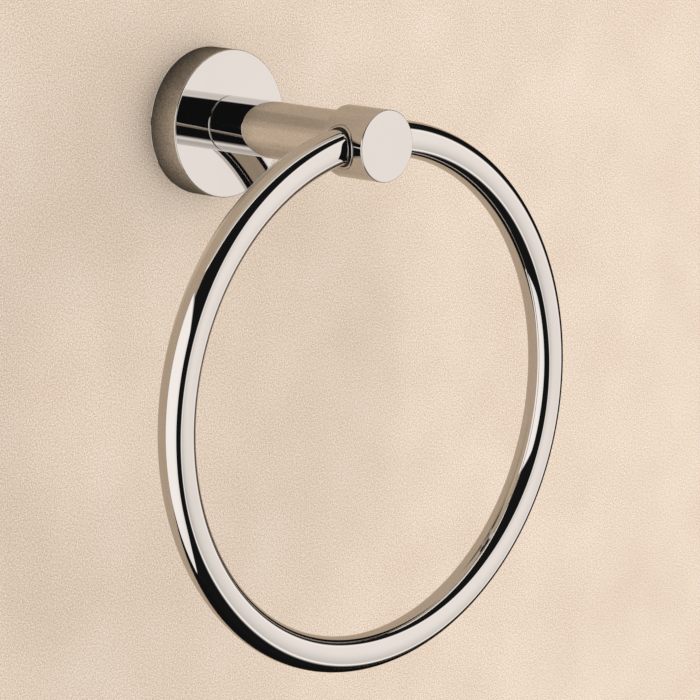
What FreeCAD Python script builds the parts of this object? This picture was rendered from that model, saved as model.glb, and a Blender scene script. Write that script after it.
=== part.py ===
import FreeCAD, Part
import math
import os

# Wall-mounted towel ring. A round rose hides the bracket on the wall and carries a straight post.
# The post ends in a cross-bored head, and an open hoop of tube swings in that bore on two end pins.
# Millimetres. The wall is the plane y = 0, the room lies towards -Y and +Z is up.
# The origin is the centre of the rose, on the wall.

# Rose: a shallow cup, open towards the wall
rose_d = 50.0
rose_depth = 12.0
rose_side_wall = 3.0
rose_face_wall = 2.5
rose_edge_round = 0.5

# Post and head, one turned piece
post_d = 19.0
post_length = 56.0
post_foot_round = 0.4
head_d = 23.7
head_length = 18.2
head_edge_round = 0.5

# Hoop of bent tube
hoop_inner_d = 160.0
tube_d = 12.0
tube_wall = 1.2
hoop_end_gap = 1.15  # from the side of the head to the flat end of the tube

# Cross bore in the head, and the web left behind it
bore_clearance = 0.5  # around the collar of an end pin
bore_back_web = 0.6
bore_mouth_round = 0.45

# End pins: a plug in the tube, a collar as wide as the tube, and a spigot in the bush
plug_length = 7.0
plug_clearance = 0.15
collar_inset = 0.05  # how far the collar reaches past the side of the head
collar_round = 0.3
spigot_d = 8.0
spigot_chamfer = 0.5
spigot_short = 0.6  # the tip stops this far before the inner end of the bush

# Bushes pressed into the mouths of the cross bore
bush_length = 4.0
bush_inset = 0.2  # behind the rim of the mouth
bush_boss_wall = 0.95
bush_end_play = 0.3
running_clearance = 0.05
press_clearance = 0.02

# Bracket on the wall, inside the rose
bracket_edge_gap = 0.4
bracket_front_gap = 2.5
bracket_edge_chamfer = 0.6
pocket_clearance = 0.4  # over the head of the post screw
pocket_side_gap = 1.1  # around the lock washer
groove_depth = 2.0

# Wall screws
wall_screw_spacing = 28.0
wall_screw_d = 4.0
wall_screw_neck_d = 3.6
wall_screw_length = 35.0
wall_screw_tip = 4.2
wall_screw_head_d = 7.7
wall_screw_recess = 0.2
countersink_gap = 0.05
bracket_hole_d = 4.5
cross_length = 4.4
cross_width = 0.9
cross_depth = 1.6

# Grub screw in the underside of the rose
grub_d = 4.0
grub_recess = 0.3
grub_tip_gap = 0.1
grub_socket = 2.0
grub_socket_depth = 2.2
groove_side_gap = 0.3
thread_clearance = 0.05

# Screw and washer that hold the post on the rose
post_screw_d = 6.0
post_screw_length = 16.0
post_screw_head_d = 10.5
post_screw_head_height = 3.3
post_screw_socket = 4.0
post_screw_socket_depth = 2.0
post_hole_spare = 2.1  # thread left free past the end of the screw
drill_point_angle = 118.0
washer_d = 11.8
washer_thickness = 1.6
washer_hole_clearance = 0.2
rose_hole_clearance = 0.3

# Places that follow from the sizes
rose_r = rose_d / 2
post_r = post_d / 2
head_r = head_d / 2
tube_r = tube_d / 2
rose_front_y = -rose_depth
rose_inner_y = rose_front_y + rose_face_wall
head_back_y = rose_front_y - post_length
head_front_y = head_back_y - head_length
bore_r = tube_r + bore_clearance
hinge_y = head_back_y - bore_back_web - bore_r
hoop_r = (hoop_inner_d + tube_d) / 2
hoop_end_x = head_r + hoop_end_gap
hoop_centre_z = -math.sqrt(hoop_r**2 - hoop_end_x**2)
collar_inner_x = head_r - collar_inset
spigot_r = spigot_d / 2
bush_outer_x = math.sqrt(head_r**2 - (bore_r + bore_mouth_round) ** 2) - bush_inset
bush_inner_x = bush_outer_x - bush_length
bracket_r = rose_r - rose_side_wall - bracket_edge_gap
bracket_front_y = rose_inner_y + bracket_front_gap
groove_floor_r = bracket_r - groove_depth
grub_y = bracket_front_y / 2
post_screw_seat_y = rose_inner_y + washer_thickness
post_screw_top_y = post_screw_seat_y + post_screw_head_height

V = FreeCAD.Vector
ALONG_Y = V(0, 1, 0)
ALONG_X = V(1, 0, 0)
HINGE_POINT = V(0, hinge_y, 0)
HOOP_CENTRE = V(0, hinge_y, hoop_centre_z)


def turned(profile, base=V(0, 0, 0), axis=ALONG_Y):
    """A solid of revolution: profile is a list of (radius, place along the axis from base)."""
    side = V(0, 0, 1)
    points = [base + side * radius + axis * along for radius, along in profile]
    outline = Part.Face(Part.makePolygon(points + points[:1]))
    return outline.revolve(base, axis, 360)


def bar(radius, start, end, base=V(0, 0, 0), axis=ALONG_Y):
    """A plain cylinder between two places along an axis through base."""
    return Part.makeCylinder(radius, end - start, base + axis * start, axis)


def hexagon_bar(across_flats, start, end, base, axis):
    """A six-sided bar along an axis, for a hex socket."""
    corner_r = across_flats / math.sqrt(3)
    side = V(1, 0, 0)
    spoke = FreeCAD.Rotation(axis, 60)
    points = []
    for _ in range(6):
        points.append(base + axis * start + side * corner_r)
        side = spoke.multVec(side)
    return Part.Face(Part.makePolygon(points + points[:1])).extrude(axis * (end - start))


def mirrored(shape):
    """The same piece on the other side of the plane x = 0."""
    return shape.mirror(V(0, 0, 0), ALONG_X)


def edges_on(shape, test):
    """The edges of a shape whose every sampled point passes a test."""
    return [edge for edge in shape.Edges if all(test(point) for point in edge.discretize(9))]


def near(value, target):
    return abs(value - target) < 0.001


def radius_about_y(point):
    return math.hypot(point.x, point.z)


def radius_about_hinge(point):
    return math.hypot(point.y - hinge_y, point.z)


def rounded_rim(shape, radius, along_y, amount):
    """Rounds the circular edge of a given radius about the Y axis, at one place along it."""

    def on_rim(point):
        return near(point.y, along_y) and near(radius_about_y(point), radius)

    return shape.makeFillet(amount, edges_on(shape, on_rim))


def flange_cover():
    cup = bar(rose_r, rose_front_y, 0)
    cup = rounded_rim(cup, rose_r, rose_front_y, rose_edge_round)
    cup = cup.cut(bar(rose_r - rose_side_wall, rose_inner_y, 1))
    screw_hole_r = post_screw_d / 2 + rose_hole_clearance
    cup = cup.cut(bar(screw_hole_r, rose_front_y - 1, rose_inner_y + 1))
    grub_hole_r = grub_d / 2 + thread_clearance
    below = V(0, grub_y, 0)
    return cup.cut(bar(grub_hole_r, -rose_r - 1, -rose_r + rose_side_wall + 1, below, V(0, 0, 1)))


def wall_bracket():
    groove_half = grub_d / 2 + groove_side_gap
    inner_chamfer_r = bracket_r - bracket_edge_chamfer
    disc = turned(
        [
            (0, 0),
            (bracket_r, 0),
            (bracket_r, grub_y + groove_half),
            (groove_floor_r, grub_y + groove_half),
            (groove_floor_r, grub_y - groove_half),
            (bracket_r, grub_y - groove_half),
            (bracket_r, bracket_front_y + bracket_edge_chamfer),
            (inner_chamfer_r, bracket_front_y),
            (0, bracket_front_y),
        ]
    )
    pocket_r = washer_d / 2 + pocket_side_gap
    disc = disc.cut(bar(pocket_r, bracket_front_y - 1, post_screw_top_y + pocket_clearance))
    sink_r = wall_screw_head_d / 2 + countersink_gap + wall_screw_recess
    hole_r = bracket_hole_d / 2
    for side in (-1, 1):
        hole = turned(
            [
                (0, bracket_front_y - 1),
                (sink_r, bracket_front_y - 1),
                (sink_r, bracket_front_y),
                (hole_r, bracket_front_y + sink_r - hole_r),
                (hole_r, 1),
                (0, 1),
            ],
            V(side * wall_screw_spacing / 2, 0, 0),
        )
        disc = disc.cut(hole)
    return disc


def wall_screw(side):
    """Countersunk screw: its thread starts where it enters the wall."""
    top_y = bracket_front_y + wall_screw_recess
    head_r = wall_screw_head_d / 2
    neck_r = wall_screw_neck_d / 2
    tip_y = top_y + wall_screw_length
    base = V(side * wall_screw_spacing / 2, 0, 0)
    screw = turned(
        [
            (0, top_y),
            (head_r, top_y),
            (neck_r, top_y + head_r - neck_r),
            (neck_r, 0),
            (wall_screw_d / 2, 0),
            (wall_screw_d / 2, tip_y - wall_screw_tip),
            (0, tip_y),
        ],
        base,
    )
    half_length = cross_length / 2
    half_width = cross_width / 2
    for across, up in ((half_length, half_width), (half_width, half_length)):
        corner = base + V(-across, top_y - 1, -up)
        screw = screw.cut(Part.makeBox(2 * across, cross_depth + 1, 2 * up, corner))
    return screw


def grub_screw():
    base = V(0, grub_y, 0)
    downwards = V(0, 0, -1)
    outer_end = rose_r - grub_recess
    screw = bar(grub_d / 2, groove_floor_r + grub_tip_gap, outer_end, base, downwards)
    socket = hexagon_bar(grub_socket, outer_end - grub_socket_depth, outer_end + 1, base, downwards)
    return screw.cut(socket)


def post():
    """The bar and its head, with the cross bore and the threaded hole in the back."""
    head = bar(head_r, head_front_y, head_back_y)
    head = rounded_rim(head, head_r, head_front_y, head_edge_round)
    head = head.cut(bar(bore_r, -head_r - 1, head_r + 1, HINGE_POINT, ALONG_X))

    def on_mouth(point):
        return near(radius_about_hinge(point), bore_r) and near(radius_about_y(point), head_r)

    head = head.makeFillet(bore_mouth_round, edges_on(head, on_mouth))
    shaft = bar(post_r, head_back_y, rose_front_y)
    shaft = head.fuse(rounded_rim(shaft, post_r, rose_front_y, post_foot_round))
    hole_r = post_screw_d / 2 + thread_clearance
    hole_end_y = post_screw_seat_y - post_screw_length - post_hole_spare
    drill_point = hole_r / math.tan(math.radians(drill_point_angle / 2))
    threaded_hole = turned(
        [
            (0, rose_front_y + 1),
            (hole_r, rose_front_y + 1),
            (hole_r, hole_end_y),
            (0, hole_end_y - drill_point),
        ]
    )
    return shaft.cut(threaded_hole)


def post_screw():
    shank_r = post_screw_d / 2
    screw_end_y = post_screw_seat_y - post_screw_length
    end_chamfer = shank_r / 4
    screw = turned(
        [
            (0, screw_end_y),
            (shank_r - end_chamfer, screw_end_y),
            (shank_r, screw_end_y + end_chamfer),
            (shank_r, post_screw_seat_y),
            (post_screw_head_d / 2, post_screw_seat_y),
            (post_screw_head_d / 2, post_screw_top_y - post_screw_head_height / 2),
            (post_screw_head_d / 3, post_screw_top_y),
            (0, post_screw_top_y),
        ]
    )
    socket_y = post_screw_top_y - post_screw_socket_depth
    return screw.cut(
        hexagon_bar(post_screw_socket, socket_y, post_screw_top_y + 1, V(0, 0, 0), ALONG_Y)
    )


def lock_washer():
    washer = bar(washer_d / 2, rose_inner_y, post_screw_seat_y)
    hole_r = post_screw_d / 2 + washer_hole_clearance
    return washer.cut(bar(hole_r, rose_inner_y - 1, post_screw_seat_y + 1))


def bush():
    """Bush in the right-hand mouth: a body in the bore and a boss that takes the side thrust."""
    bush_bore_r = spigot_r + running_clearance
    boss_r = bush_bore_r + bush_boss_wall
    body_r = bore_r - press_clearance
    boss_end_x = collar_inner_x - bush_end_play
    return turned(
        [
            (bush_bore_r, bush_inner_x),
            (body_r, bush_inner_x),
            (body_r, bush_outer_x),
            (boss_r, bush_outer_x),
            (boss_r, boss_end_x),
            (bush_bore_r, boss_end_x),
        ],
        HINGE_POINT,
        ALONG_X,
    )


def towel_ring():
    """A hoop of tube with a gap at the top, its ends cut square to the hinge axis."""
    tube = Part.makeTorus(hoop_r, tube_r, HOOP_CENTRE, ALONG_Y)
    tube = tube.cut(Part.makeTorus(hoop_r, tube_r - tube_wall, HOOP_CENTRE, ALONG_Y))
    gap_corner = HOOP_CENTRE + V(-hoop_end_x, -tube_d, 0)
    return tube.cut(Part.makeBox(2 * hoop_end_x, 2 * tube_d, hoop_r + tube_d, gap_corner))


def end_pin():
    """Pin in the right-hand end of the tube: the plug lies along the tube, the rest on the hinge axis."""
    turn = math.asin(hoop_end_x / hoop_r) + plug_length / 2 / hoop_r
    plug_middle = HOOP_CENTRE + V(math.sin(turn), 0, math.cos(turn)) * hoop_r
    plug_along = V(math.cos(turn), 0, -math.sin(turn))
    plug_r = tube_r - tube_wall - plug_clearance
    plug = bar(plug_r, -plug_length, plug_length / 2, plug_middle, plug_along)
    collar_middle_x = (collar_inner_x + hoop_end_x) / 2
    trim_corner = HINGE_POINT + V(collar_middle_x - 2 * plug_length, -tube_d, -tube_d)
    plug = plug.cut(Part.makeBox(2 * plug_length, 2 * tube_d, 2 * tube_d, trim_corner))
    spigot_tip_x = bush_inner_x + spigot_short
    pin = turned(
        [
            (0, spigot_tip_x),
            (spigot_r - spigot_chamfer, spigot_tip_x),
            (spigot_r, spigot_tip_x + spigot_chamfer),
            (spigot_r, collar_inner_x),
            (tube_r - collar_round, collar_inner_x),
            (tube_r, collar_inner_x + collar_round),
            (tube_r, hoop_end_x),
            (0, hoop_end_x),
        ],
        HINGE_POINT,
        ALONG_X,
    )
    return pin.fuse(plug)


def pieces():
    """Every piece by name, in place."""
    right_bush = bush()
    right_pin = end_pin()
    return {
        "flange_cover": flange_cover(),
        "wall_bracket": wall_bracket(),
        "wall_screw_left": wall_screw(-1),
        "wall_screw_right": wall_screw(1),
        "grub_screw": grub_screw(),
        "post": post(),
        "post_screw": post_screw(),
        "lock_washer": lock_washer(),
        "bush_left": mirrored(right_bush),
        "bush_right": right_bush,
        "towel_ring": towel_ring(),
        "end_pin_left": mirrored(right_pin),
        "end_pin_right": right_pin,
    }


os.makedirs("parts", exist_ok=True)
for name, shape in pieces().items():
    shape.exportStep(f"parts/{name}.step")
    print(f"{name}: {len(shape.Solids)} solid, {shape.Volume:.1f} mm3, valid {shape.isValid()}")
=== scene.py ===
import bmesh
import bpy
import math
from mathutils import Matrix, Vector


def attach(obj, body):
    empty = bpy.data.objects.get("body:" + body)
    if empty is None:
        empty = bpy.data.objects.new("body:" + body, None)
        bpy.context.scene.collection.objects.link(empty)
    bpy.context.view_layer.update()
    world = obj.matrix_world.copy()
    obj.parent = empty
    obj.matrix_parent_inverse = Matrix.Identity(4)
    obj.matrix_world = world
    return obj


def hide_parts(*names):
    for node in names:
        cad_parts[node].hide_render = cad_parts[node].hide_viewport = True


# Wall-mounted towel ring in polished chrome plate. Sizes are in millimetres until a mesh is finished.

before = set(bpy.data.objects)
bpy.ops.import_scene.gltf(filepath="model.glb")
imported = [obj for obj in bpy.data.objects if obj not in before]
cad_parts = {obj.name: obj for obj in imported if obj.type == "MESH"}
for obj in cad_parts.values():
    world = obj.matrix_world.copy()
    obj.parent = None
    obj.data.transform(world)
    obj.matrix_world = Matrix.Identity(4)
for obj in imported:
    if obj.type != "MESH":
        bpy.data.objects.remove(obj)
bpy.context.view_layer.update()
MM = 0.001

# Sizes of the chrome pieces, as they are made
rose_r = 25.0
rose_depth = 12.0
rose_side_wall = 3.0
rose_face_wall = 2.5
edge_round = 0.5
screw_hole_r = 3.3
grub_hole_r = 2.05
grub_y = -3.5
post_r = 9.5
foot_round = 0.4
head_r = 11.85
head_back_y = -68.0
head_front_y = -86.2
bore_r = 6.5
lip_width = 0.6
lip_height = 0.3
lip_round = 0.27
groove_depth = 0.3
groove_r = 7.35
bend_x = 7.0
hinge_y = -75.1
tube_r = 6.0
hoop_r = 86.0
hoop_end_x = 13.0
hoop_centre_z = -math.sqrt(hoop_r**2 - hoop_end_x**2)
collar_inner_x = 11.8
collar_round = 0.3
spigot_r = 4.0
spigot_tip_x = 6.0
spigot_chamfer = 0.5
plug_r = 4.65
plug_start = 0.4
plug_length = 7.0

hinge_point = Vector((0, hinge_y, 0))
hoop_centre = Vector((0, hinge_y, hoop_centre_z))
ALONG_Y_TO_X = Matrix.Rotation(math.radians(-90), 4, "Z")

# A ring of points this far outside a rounded edge keeps the long face beside it evenly shaded
support = 0.1
edge_support = edge_round + support

# How far the cutting bars of the two holes reach
grub_cut_inside = 5
grub_cut_outside = 2
bore_cut_x = 20

# The hole for a mouth is a little wider than its groove, and the mouth reaches a little past the hole
mouth_hole_gap = 0.025
mouth_overlap = 0.03

# Where the half hoop starts, in degrees from its top, and the height that only its end stands above
hoop_spare_degrees = 7.5
hoop_end_low_z = -12

# Steps round each shape
rose_steps = 360
post_steps = 512
mouth_steps = 240
pin_steps = 192
grub_hole_steps = 96
plug_steps = 64
tube_sides = 96
half_hoop_steps = 180
corner_steps = 10
wall_sides = 64
disc_sides = 192

# Points nearer than this are one point: in any mesh, where the hoop is cut, and where it is mirrored
merge_gap = 1e-4
cut_gap = 1e-5
mirror_gap = 1e-3

# Edges that turn by more than this stay sharp
sharp_degrees = 30


# Meshes


def chain(bm, points, rounds):
    """A line of edges through (radius, along) points.

    rounds lists the corners that are rounded, each with the radius of its round.
    """
    corners = [bm.verts.new((radius, along, 0)) for radius, along in points]
    for start, end in zip(corners, corners[1:]):
        bm.edges.new((start, end))
    for corner, radius in rounds:
        bmesh.ops.bevel(
            bm,
            geom=[corners[corner]],
            offset=radius,
            segments=corner_steps,
            profile=0.5,
            affect="VERTICES",
            material=-1,
        )


def turned(points, rounds, steps):
    """Spins a line of points round the Y axis."""
    bm = bmesh.new()
    chain(bm, points, rounds)
    bmesh.ops.spin(
        bm,
        geom=bm.verts[:] + bm.edges[:],
        axis=(0, 1, 0),
        cent=(0, 0, 0),
        angle=2 * math.pi,
        steps=steps,
        use_merge=True,
    )
    bmesh.ops.remove_doubles(bm, verts=bm.verts, dist=merge_gap)
    bmesh.ops.recalc_face_normals(bm, faces=bm.faces)
    return bm


def moved(bm, matrix):
    bmesh.ops.transform(bm, matrix=matrix, verts=bm.verts)
    return bm


def on_side(bm, side):
    """Mirrors a mesh of the right side over to the left, where side is -1."""
    if side < 0:
        bmesh.ops.scale(bm, vec=(-1, 1, 1), verts=bm.verts)
        bmesh.ops.reverse_faces(bm, faces=bm.faces)
    return bm


def add_mesh(bm, other):
    """Puts a second mesh into the first one."""
    mesh = bpy.data.meshes.new("added")
    other.to_mesh(mesh)
    other.free()
    bm.from_mesh(mesh)
    bpy.data.meshes.remove(mesh)


def smooth(bm):
    """Smooth shading, except along sharp edges."""
    for face in bm.faces:
        face.smooth = True
    for edge in bm.edges:
        if len(edge.link_faces) == 2:
            edge.smooth = edge.calc_face_angle(0) < math.radians(sharp_degrees)


def raw_object(bm, name):
    mesh = bpy.data.meshes.new(name)
    bm.to_mesh(mesh)
    bm.free()
    made = bpy.data.objects.new(name, mesh)
    bpy.context.scene.collection.objects.link(made)
    return made


def finished(bm, name):
    """Turns a bmesh in millimetres into an object in metres."""
    smooth(bm)
    bmesh.ops.scale(bm, vec=(MM, MM, MM), verts=bm.verts)
    return raw_object(bm, name)


def cut(bm, cutter):
    """The first mesh with the second one cut out of it."""
    body = raw_object(bm, "body_to_cut")
    tool = raw_object(cutter, "cutter")
    boolean = body.modifiers.new("cut", "BOOLEAN")
    boolean.operation = "DIFFERENCE"
    boolean.solver = "EXACT"
    boolean.object = tool
    bpy.context.view_layer.update()
    result = bmesh.new()
    result.from_object(body, bpy.context.evaluated_depsgraph_get())
    for used in (body, tool):
        mesh = used.data
        bpy.data.objects.remove(used)
        bpy.data.meshes.remove(mesh)
    return result


def plain_bar(radius, start, end, matrix, steps):
    """A closed round bar along Y, placed by a matrix."""
    return moved(turned([(0, start), (radius, start), (radius, end), (0, end)], (), steps), matrix)


def rose_mesh():
    front = -rose_depth
    inner_y = front + rose_face_wall
    inner_r = rose_r - rose_side_wall
    bm = turned(
        [
            (screw_hole_r, inner_y),
            (screw_hole_r, front),
            (rose_r - edge_support, front),
            (rose_r, front),
            (rose_r, front + edge_support),
            (rose_r, 0),
            (inner_r, 0),
            (inner_r, inner_y),
            (screw_hole_r, inner_y),
        ],
        [(3, edge_round)],
        rose_steps,
    )
    down = Matrix.Translation((0, grub_y, 0)) @ Matrix.Rotation(math.radians(-90), 4, "X")
    grub_bar = plain_bar(
        grub_hole_r, rose_r - grub_cut_inside, rose_r + grub_cut_outside, down, grub_hole_steps
    )
    return cut(bm, grub_bar)


def mouth_mesh(side):
    """The bore of the head, the lip of its mouth and the fine groove round the lip.

    They follow the round side of the head.
    """
    lip_x = head_r + lip_height
    floor_x = head_r - groove_depth
    bm = turned(
        [
            (bore_r, 0),
            (bore_r, bend_x),
            (bore_r, lip_x),
            (bore_r + lip_width, lip_x),
            (bore_r + lip_width, floor_x),
            (groove_r, floor_x),
            (groove_r, head_r),
            (groove_r + mouth_overlap, head_r),
        ],
        [(2, lip_round), (3, lip_round)],
        mouth_steps,
    )
    moved(bm, Matrix.Translation(hinge_point) @ ALONG_Y_TO_X)
    for vert in bm.verts:
        share = min(max((vert.co.x - bend_x) / (floor_x - bend_x), 0), 1)
        vert.co.x -= share * (head_r - math.sqrt(head_r**2 - vert.co.z**2))
    return on_side(bm, side)


def post_mesh():
    bm = turned(
        [
            (0, head_front_y),
            (head_r - edge_support, head_front_y),
            (head_r, head_front_y),
            (head_r, head_front_y + edge_support),
            (head_r, head_back_y),
            (post_r, head_back_y),
            (post_r, -rose_depth - foot_round - support),
            (post_r, -rose_depth),
            (0, -rose_depth),
        ],
        [(2, edge_round), (7, foot_round)],
        post_steps,
    )
    through = Matrix.Translation(hinge_point) @ ALONG_Y_TO_X
    bm = cut(bm, plain_bar(groove_r + mouth_hole_gap, -bore_cut_x, bore_cut_x, through, mouth_steps))
    for side in (-1, 1):
        add_mesh(bm, mouth_mesh(side))
    return bm


def hoop_mesh():
    """Half a bent tube, with its end cut square to the hinge axis, and its mirror image."""
    spare = math.radians(hoop_spare_degrees)
    bm = bmesh.new()
    at_start = Matrix.Rotation(spare - math.pi / 2, 4, "Y") @ Matrix.Translation((hoop_r, 0, 0))
    bmesh.ops.create_circle(bm, segments=tube_sides, radius=tube_r, matrix=at_start)
    bmesh.ops.spin(
        bm,
        geom=bm.verts[:] + bm.edges[:],
        axis=(0, 1, 0),
        cent=(0, 0, 0),
        angle=math.pi - spare,
        steps=half_hoop_steps,
    )
    moved(bm, Matrix.Translation(hoop_centre))
    near_end = [face for face in bm.faces if face.calc_center_median().z > hoop_end_low_z]
    verts = {vert for face in near_end for vert in face.verts}
    edges = {edge for face in near_end for edge in face.edges}
    bmesh.ops.bisect_plane(
        bm,
        geom=[*verts, *edges, *near_end],
        dist=cut_gap,
        plane_co=(hoop_end_x, 0, 0),
        plane_no=(-1, 0, 0),
        clear_outer=True,
    )
    end = [edge for edge in bm.edges if edge.is_boundary and edge.verts[0].co.z > hoop_end_low_z]
    bmesh.ops.edgeloop_fill(bm, edges=end)
    bmesh.ops.mirror(bm, geom=bm.verts[:] + bm.edges[:] + bm.faces[:], axis="X", merge_dist=mirror_gap)
    bmesh.ops.remove_doubles(bm, verts=bm.verts, dist=merge_gap)
    bmesh.ops.recalc_face_normals(bm, faces=bm.faces)
    return bm


def end_pin_mesh(side):
    """Collar and spigot on the hinge axis, and the plug that sits in the end of the tube."""
    bm = turned(
        [
            (0, spigot_tip_x),
            (spigot_r - spigot_chamfer, spigot_tip_x),
            (spigot_r, spigot_tip_x + spigot_chamfer),
            (spigot_r, collar_inner_x),
            (tube_r, collar_inner_x),
            (tube_r, hoop_end_x),
            (0, hoop_end_x),
        ],
        [(4, collar_round)],
        pin_steps,
    )
    moved(bm, Matrix.Translation(hinge_point) @ ALONG_Y_TO_X)
    turn = math.asin(hoop_end_x / hoop_r)
    along = Matrix.Rotation(turn, 4, "Y") @ Matrix.Translation((0, 0, hoop_r)) @ ALONG_Y_TO_X
    in_tube = Matrix.Translation(hoop_centre) @ along
    add_mesh(bm, plain_bar(plug_r, plug_start, plug_length, in_tube, plug_steps))
    return on_side(bm, side)


# Materials


class Value:
    """A shader socket that takes part in ordinary sums."""

    def __init__(self, finish, socket):
        self.finish = finish
        self.socket = socket

    def _sum(self, operation, first, second=None):
        return self.finish.node("ShaderNodeMath", {"operation": operation}, {0: first, 1: second})

    def __add__(self, other):
        return self._sum("ADD", self, other)

    def __radd__(self, other):
        return self._sum("ADD", other, self)

    def __sub__(self, other):
        return self._sum("SUBTRACT", self, other)

    def __rsub__(self, other):
        return self._sum("SUBTRACT", other, self)

    def __mul__(self, other):
        return self._sum("MULTIPLY", self, other)

    def __rmul__(self, other):
        return self._sum("MULTIPLY", other, self)

    def __truediv__(self, other):
        return self._sum("DIVIDE", self, other)

    def __rtruediv__(self, other):
        return self._sum("DIVIDE", other, self)

    def __pow__(self, other):
        return self._sum("POWER", self, other)

    def __rpow__(self, other):
        return self._sum("POWER", other, self)

    def over(self, limit):
        return self._sum("GREATER_THAN", self, limit)

    def least(self, other):
        return self._sum("MINIMUM", self, other)

    def most(self, other):
        return self._sum("MAXIMUM", self, other)

    def size(self):
        return self._sum("ABSOLUTE", self)


class Finish:
    """The nodes of a material, or of the world, under construction."""

    def __init__(self, owner, output_kind="ShaderNodeOutputMaterial"):
        self.owner = owner
        owner.use_nodes = True
        self.tree = owner.node_tree
        self.tree.nodes.clear()
        self.output = self.tree.nodes.new(output_kind)

    def node(self, kind, settings=None, inputs=None, output=0):
        """Makes a node, sets it up, fills its sockets and gives one of its outputs."""
        made = self.tree.nodes.new(kind)
        for name, value in (settings or {}).items():
            setattr(made, name, value)
        for name, value in (inputs or {}).items():
            if value is None:
                continue
            socket = made.inputs[name]
            if isinstance(value, Value):
                self.tree.links.new(value.socket, socket)
            else:
                socket.default_value = value
        return Value(self, made.outputs[output])

    def noise(self, place, scale, detail, roughness=0.5):
        return self.node(
            "ShaderNodeTexNoise",
            {},
            {"Vector": place, "Scale": scale, "Detail": detail, "Roughness": roughness},
            "Fac",
        )

    def place(self, stretch=(1, 1, 1)):
        """Object coordinates, stretched."""
        where = self.node("ShaderNodeTexCoord", output="Object")
        return self.node("ShaderNodeMapping", {}, {"Vector": where, "Scale": stretch})

    def coordinate(self, kind, axis):
        """One axis of the object's own coordinates, or of its flat ones."""
        where = self.node("ShaderNodeTexCoord", output=kind)
        return self.node("ShaderNodeSeparateXYZ", {}, {"Vector": where}, axis)

    def fade(self, value, start, end, low, high):
        """Goes smoothly from low, where the value is at start, to high, where it is at end."""
        return self.node(
            "ShaderNodeMapRange",
            {"interpolation_type": "SMOOTHSTEP"},
            {"Value": value, "From Min": start, "From Max": end, "To Min": low, "To Max": high},
        )

    def mix(self, factor, first, second):
        """A colour between two others."""
        return self.node(
            "ShaderNodeMix",
            {"data_type": "RGBA"},
            {"Factor": factor, 6: first, 7: second},
            2,
        )

    def bump(self, height, strength, distance):
        """The slope of a height, whose full rise is a distance in metres."""
        return self.node(
            "ShaderNodeBump",
            {},
            {"Strength": strength, "Distance": distance, "Height": height},
        )

    def glow(self, colour, strength):
        return self.node("ShaderNodeEmission", {}, {"Color": colour, "Strength": strength})

    def ends_in(self, shader):
        """Joins the last shader to the output."""
        self.tree.links.new(shader.socket, self.output.inputs["Surface"])
        return self.owner

    def surface(self, inputs):
        return self.ends_in(self.node("ShaderNodeBsdfPrincipled", {}, inputs))


def new_finish(name):
    return Finish(bpy.data.materials.new(name))


def chrome_plate():
    """Mirror-polished plating, with a faint haze and the slight waviness of polished metal."""
    finish = new_finish("chrome_plate")
    place = finish.place()
    haze = finish.noise(place, scale=55, detail=3)
    cloud = finish.noise(place, scale=260, detail=4, roughness=0.6)
    wave = finish.noise(place, scale=32, detail=1)
    polish = finish.bump(wave, strength=0.1, distance=0.00012)
    return finish.surface(
        {
            "Base Color": finish.mix(haze, (0.655, 0.648, 0.642, 1), (0.69, 0.683, 0.676, 1)),
            "Metallic": 1.0,
            "Specular Tint": (0.95, 0.94, 0.93, 1),
            "Roughness": 0.012 + 0.03 * cloud * haze,
            "Normal": polish,
        }
    )


def zinc_plate():
    """Dull zinc plating with cloudy grain."""
    finish = new_finish("zinc_plate")
    place = finish.place()
    cloud = finish.noise(place, scale=180, detail=4, roughness=0.6)
    grain = finish.noise(place, scale=1400, detail=3)
    return finish.surface(
        {
            "Base Color": finish.mix(cloud, (0.46, 0.47, 0.48, 1), (0.62, 0.62, 0.60, 1)),
            "Metallic": 1.0,
            "Roughness": 0.30 + 0.22 * cloud,
            "Normal": finish.bump(grain, strength=0.25, distance=0.00005),
        }
    )


def stainless_steel():
    """Bright screws with fine turning marks."""
    finish = new_finish("stainless_steel")
    marks = finish.noise(finish.place(stretch=(300, 9000, 300)), scale=1.0, detail=2)
    stain = finish.noise(finish.place(), scale=400, detail=2)
    return finish.surface(
        {
            "Base Color": finish.mix(stain, (0.56, 0.56, 0.55, 1), (0.66, 0.65, 0.64, 1)),
            "Metallic": 1.0,
            "Roughness": 0.18 + 0.14 * marks,
            "Normal": finish.bump(marks, strength=0.2, distance=0.00003),
        }
    )


def black_nylon():
    """Black nylon with a fine moulded grain."""
    finish = new_finish("black_nylon")
    cloud = finish.noise(finish.place(), scale=300, detail=3)
    grain = finish.noise(finish.place(), scale=2600, detail=2)
    return finish.surface(
        {
            "Base Color": finish.mix(cloud, (0.035, 0.034, 0.033, 1), (0.06, 0.058, 0.056, 1)),
            "Roughness": 0.4 + 0.16 * grain,
            "IOR": 1.53,
            "Normal": finish.bump(grain, strength=0.3, distance=0.00003),
        }
    )


# Pieces

chrome = chrome_plate()
new_pieces = [
    ("rose_cover", rose_mesh(), "flange_cover", "holder"),
    ("post_and_head", post_mesh(), "post", "holder"),
    ("hoop", hoop_mesh(), "towel_ring", "ring"),
    ("hinge_pin_left", end_pin_mesh(-1), "end_pin_left", "ring"),
    ("hinge_pin_right", end_pin_mesh(1), "end_pin_right", "ring"),
]
for name, bm, node, body in new_pieces:
    piece = finished(bm, name)
    piece.data.materials.append(chrome)
    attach(piece, body)
    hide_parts(node)

zinc = zinc_plate()
steel = stainless_steel()
nylon = black_nylon()
node_finishes = {
    "wall_bracket": zinc,
    "wall_screw_left": steel,
    "wall_screw_right": steel,
    "grub_screw": steel,
    "post_screw": steel,
    "lock_washer": steel,
    "bush_left": nylon,
    "bush_right": nylon,
}
for node, material in node_finishes.items():
    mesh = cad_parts[node].data
    mesh.materials.clear()
    mesh.materials.append(material)


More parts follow.
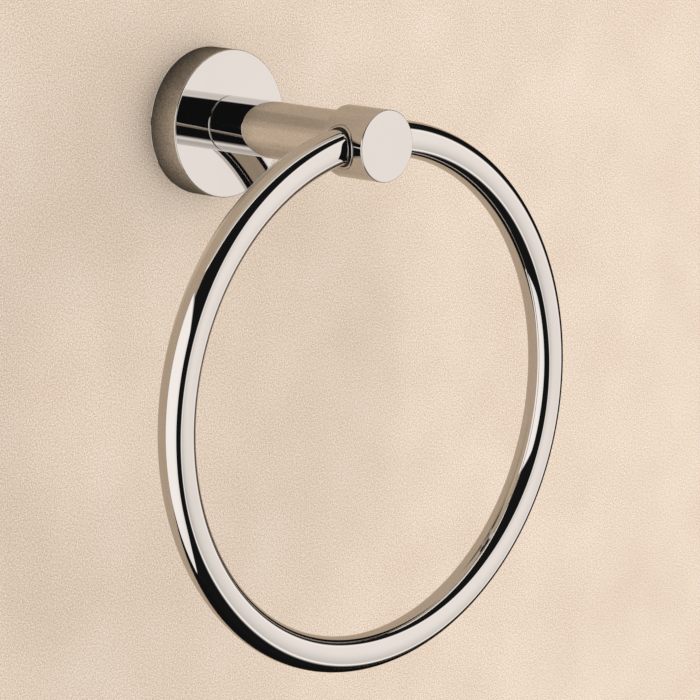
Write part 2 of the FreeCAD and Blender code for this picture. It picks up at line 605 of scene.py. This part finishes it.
# Wall, lights and camera


def two_sided(finish, front):
    """Gives a stage material a clear back."""
    clear = finish.node("ShaderNodeBsdfTransparent")
    behind = finish.node("ShaderNodeNewGeometry", output="Backfacing")
    return finish.ends_in(finish.node("ShaderNodeMixShader", {}, {0: behind, 1: front, 2: clear}))


def facing(bm, direction):
    """Turns a flat mesh over where it faces away from a direction."""
    bm.normal_update()
    bm.faces.ensure_lookup_table()
    if bm.faces[0].normal.dot(Vector(direction)) < 0:
        bmesh.ops.reverse_faces(bm, faces=bm.faces)
    return bm


def wall_mesh():
    """A large disc with an opening behind the rose."""
    bm = bmesh.new()
    upright = Matrix.Rotation(math.radians(90), 4, "X")
    opening_r = rose_r - 1
    near_r = 400
    far_r = 4000
    rims = []
    for radius in (opening_r, near_r, far_r):
        known = set(bm.edges)
        bmesh.ops.create_circle(bm, segments=wall_sides, radius=radius, matrix=upright)
        rims.append([edge for edge in bm.edges if edge not in known])
    for inner, outer in zip(rims, rims[1:]):
        bmesh.ops.bridge_loops(bm, edges=inner + outer)
    bmesh.ops.recalc_face_normals(bm, faces=bm.faces)
    return facing(bm, (0, -1, 0))


def plaster(finish, dark, pale):
    """The colour of fine-grained plaster."""
    place = finish.place()
    speck = finish.noise(place, scale=2100, detail=2, roughness=0.6)
    cloud = finish.noise(place, scale=30, detail=3)
    grain = 0.9 * speck + 0.1 * cloud
    return finish.mix(finish.fade(grain, start=0.32, end=0.68, low=0, high=1), dark, pale)


def wall():
    """A plain wall, which is clear from behind."""
    made = finished(wall_mesh(), "wall")
    finish = new_finish("wall")
    colour = plaster(finish, (0.63, 0.445, 0.305, 1), (0.965, 0.87, 0.76, 1))
    matt = finish.node(
        "ShaderNodeBsdfPrincipled",
        {},
        {"Base Color": colour, "Roughness": 0.9, "Specular IOR Level": 0.2},
    )
    made.data.materials.append(two_sided(finish, matt))
    made.visible_glossy = False


def card_mesh(centre, azimuth, elevation, half_width, half_height):
    """A flat card that stands at a centre and faces back along an azimuth and elevation."""
    bm = bmesh.new()
    bm.loops.layers.uv.new("card")
    a = math.radians(azimuth)
    e = math.radians(elevation)
    outward = Vector((math.sin(a) * math.cos(e), -math.cos(a) * math.cos(e), math.sin(e)))
    across = Vector((math.cos(a), math.sin(a), 0))
    up = outward.cross(across)
    turn = Matrix((-across * half_width, up * half_height, -outward)).transposed().to_4x4()
    place = Matrix.Translation(centre) @ turn
    bmesh.ops.create_grid(bm, x_segments=1, y_segments=1, size=1.0, matrix=place, calc_uvs=True)
    return bm


def only_reflected(made, finish, front):
    """Finishes a glowing stage piece and keeps it out of everything except the chrome."""
    made.data.materials.append(two_sided(finish, front))
    made.visible_camera = False
    made.visible_diffuse = False
    made.visible_shadow = False
    made.active_material.cycles.emission_sampling = "NONE"


def painted_wall_reflection():
    """The wall as the chrome shows it: a glowing card, painted as the wall's reflection.

    It darkens with painted shadow close to the rose, and a streak of painted light runs to the left
    between two soft streaks of painted shadow.
    """
    in_front_y = -0.2
    reach = 4000
    # A glowing card just in front of the wall that only the chrome shows: a painted reflection of the
    # wall
    made = finished(card_mesh(Vector((0, in_front_y, 0)), 180, 0, reach, reach), "painted_wall_reflection")
    finish = new_finish("painted_wall_reflection")
    x, z = (finish.coordinate("Object", axis) for axis in "XZ")
    radius = (x**2 + z**2) ** 0.5

    def painted_streak(degrees, start, end, strength):
        """A soft streak that runs out from the rose, painted into the glow: added, it is painted
        light; taken away, it is painted shadow. start and end are cosines of its spread.
        """
        angle = math.radians(degrees)
        along = math.cos(angle) * x + math.sin(angle) * z
        return finish.fade(along / radius, start, end, 0, strength)

    # Painted light and painted shadow: a bright streak to the left of the rose between two dark ones
    painted_light_streak = painted_streak(190, start=0.78, end=0.97, strength=0.27)
    painted_shadow_above = painted_streak(120, start=0.88, end=0.985, strength=0.25)
    painted_shadow_below = painted_streak(265, start=0.85, end=0.97, strength=0.2)
    near_rose = finish.fade(radius, start=0.06, end=0.1, low=1, high=0)
    painted_streaks = (painted_light_streak - painted_shadow_above - painted_shadow_below) * near_rose
    # Painted shadow: the glow fades to black close to the rose, then stays just under full strength
    painted_shade = finish.fade(radius, start=0.019, end=0.045, low=0, high=0.97) * (1 + painted_streaks)
    # Painted reflection: plaster colours darker than the wall's own
    colour = plaster(finish, (0.44, 0.325, 0.225, 1), (0.76, 0.595, 0.44, 1))
    only_reflected(made, finish, finish.glow(colour, painted_shade))


def light_panel(name, place, half_size, colour, shades, corner, edge, border_level):
    """A soft panel with round corners and a bright border, which shows only in the chrome.

    place is its centre, azimuth and elevation. shades are the shares of its light at its left,
    right and low ends. corner and edge, the width of its grey edge, are shares of half its height.
    """
    half_width, half_height = half_size
    made = finished(card_mesh(*place, half_width, half_height), name)
    finish = new_finish(name)
    u, v = (finish.coordinate("UV", axis) for axis in "XY")
    straight_width = half_width / half_height - corner
    side = (1 - 2 * u).size() * (half_width / half_height) - straight_width
    ends = (2 * v - 1).size() - (1 - corner)
    past = (side.most(0) ** 2 + ends.most(0) ** 2) ** 0.5
    depth = corner - past - side.most(ends).least(0)
    left, right, low = shades
    left_fall = finish.fade(u, start=1, end=0.5, low=left, high=1)
    right_fall = finish.fade(u, start=0.5, end=0, low=1, high=right)
    low_fall = finish.fade(v, start=0, end=0.5, low=low, high=1)
    inside = left_fall * right_fall * low_fall
    border_rise = finish.fade(depth, start=0.5 * edge, end=edge, low=0, high=1)
    border_fall = finish.fade(depth, start=1.3 * edge, end=2 * edge, low=1, high=0)
    border = border_rise * border_fall
    grey = finish.fade(depth, start=0, end=edge, low=0.3, high=1)
    strength = (inside + (border_level - inside) * border) * grey
    glow = finish.glow((*colour, 1), strength)
    clear = finish.node("ShaderNodeBsdfTransparent")
    front = finish.node("ShaderNodeMixShader", {}, {0: depth.over(0), 1: clear, 2: glow})
    only_reflected(made, finish, front)


def plain_card(bm, name, colour):
    made = finished(bm, name)
    finish = new_finish(name)
    only_reflected(made, finish, finish.glow((*colour, 1), 1.0))


def reflected_disc(name, centre, half_width, half_depth, colour):
    """A level oval card overhead that shows only in the chrome."""
    bm = bmesh.new()
    oval = Matrix.Translation(centre) @ Matrix.Diagonal((half_width, -half_depth, -1, 1))
    bmesh.ops.create_circle(bm, cap_ends=True, segments=disc_sides, radius=1, matrix=oval)
    plain_card(facing(bm, (0, 0, -1)), name, colour)


def reflected_card(name, place, half_size, colour):
    """A flat card that shows only in the chrome."""
    plain_card(card_mesh(*place, *half_size), name, colour)


def soft_lamp(centre, size, watts):
    """A large soft lamp that faces the object and lights the wall. The chrome doesn't show it."""
    data = bpy.data.lights.new("soft_lamp", "AREA")
    data.size = size * MM
    data.energy = watts
    lamp = bpy.data.objects.new("soft_lamp", data)
    bpy.context.scene.collection.objects.link(lamp)
    to_object = centre.to_track_quat("Z", "Y").to_matrix().to_4x4()
    lamp.matrix_world = Matrix.Translation(centre * MM) @ to_object
    lamp.visible_camera = False
    lamp.visible_glossy = False


def studio_world():
    """White to the camera, near black in reflections, and a plain fill on everything else."""
    world = bpy.data.worlds.new("studio")
    bpy.context.scene.world = world
    fill_level = 0.58
    reflected_level = 0.01
    seen_level = 1.0
    white = (1, 1, 1, 1)
    studio = Finish(world, "ShaderNodeOutputWorld")
    is_reflected = studio.node("ShaderNodeLightPath", output="Is Glossy Ray")
    is_seen = studio.node("ShaderNodeLightPath", output="Is Camera Ray")
    unseen = studio.node(
        "ShaderNodeMix",
        {},
        {"Factor": is_reflected, "A": fill_level, "B": reflected_level},
    )
    level = studio.node("ShaderNodeMix", {}, {"Factor": is_seen, "A": unseen, "B": seen_level})
    studio.ends_in(studio.node("ShaderNodeBackground", {}, {"Color": white, "Strength": level}))


def set_camera():
    """The photograph's view of the ring."""
    place = Vector((-846.65, -925.62, 208.51)) * MM
    target = Vector((6.27, -60.0, -72.25)) * MM
    roll = -0.0281
    focal_pixels = 3751.62
    picture_pixels = 700
    sensor_width = 36
    ahead = (target - place).normalized()
    level = ahead.cross(Vector((0, 0, 1))).normalized()
    upright = level.cross(ahead)
    right = level * math.cos(roll) + upright * math.sin(roll)
    up = upright * math.cos(roll) - level * math.sin(roll)
    data = bpy.data.cameras.new("camera")
    data.sensor_width = sensor_width
    data.lens = focal_pixels * sensor_width / picture_pixels
    camera = bpy.data.objects.new("camera", data)
    bpy.context.scene.collection.objects.link(camera)
    turn = Matrix((right, up, -ahead)).transposed().to_4x4()
    camera.matrix_world = Matrix.Translation(place) @ turn
    bpy.context.scene.camera = camera


wall()
painted_wall_reflection()
light_panel(
    "left_panel",
    place=(Vector((-371, -194, -206)), -110.5, 4.6),
    half_size=(268, 357),
    colour=(1.31, 1.24, 1.19),
    shades=(1, 0.9, 0.9),
    corner=0.2,
    edge=0.05,
    border_level=1.05,
)
light_panel(
    "right_panel",
    place=(Vector((468.5, -1357, 43)), 40.5, -16),
    half_size=(1592, 1660),
    colour=(1.18, 1.10, 1.03),
    shades=(0.7, 1, 0.62),
    corner=0.55,
    edge=0.15,
    border_level=1.15,
)
reflected_disc(
    "overhead",
    Vector((60, -10, 598)),
    half_width=605,
    half_depth=180,
    colour=(0.64, 0.556, 0.458),
)
reflected_disc(
    "overhead_edge",
    Vector((60, -10, 600)),
    half_width=660,
    half_depth=235,
    colour=(1.23, 1.14, 1.04),
)
near_black = (0.008, 0.008, 0.008)
for name, centre, half_size, colour in [
    ("dark_right", Vector((2190, -1, 0)), (2000, 2000), near_black),
    ("dark_below", Vector((0, -1, -2240)), (2000, 2000), near_black),
    ("pale_behind_wall", Vector((200, 1400, 300)), (1500, 1500), (0.85, 0.84, 0.82)),
]:
    reflected_card(name, (centre, 180, 0), half_size, colour)
soft_lamp(Vector((1000, -1700, -50)), size=2400, watts=29)
studio_world()
set_camera()
bpy.context.scene.view_settings.view_transform = "Standard"
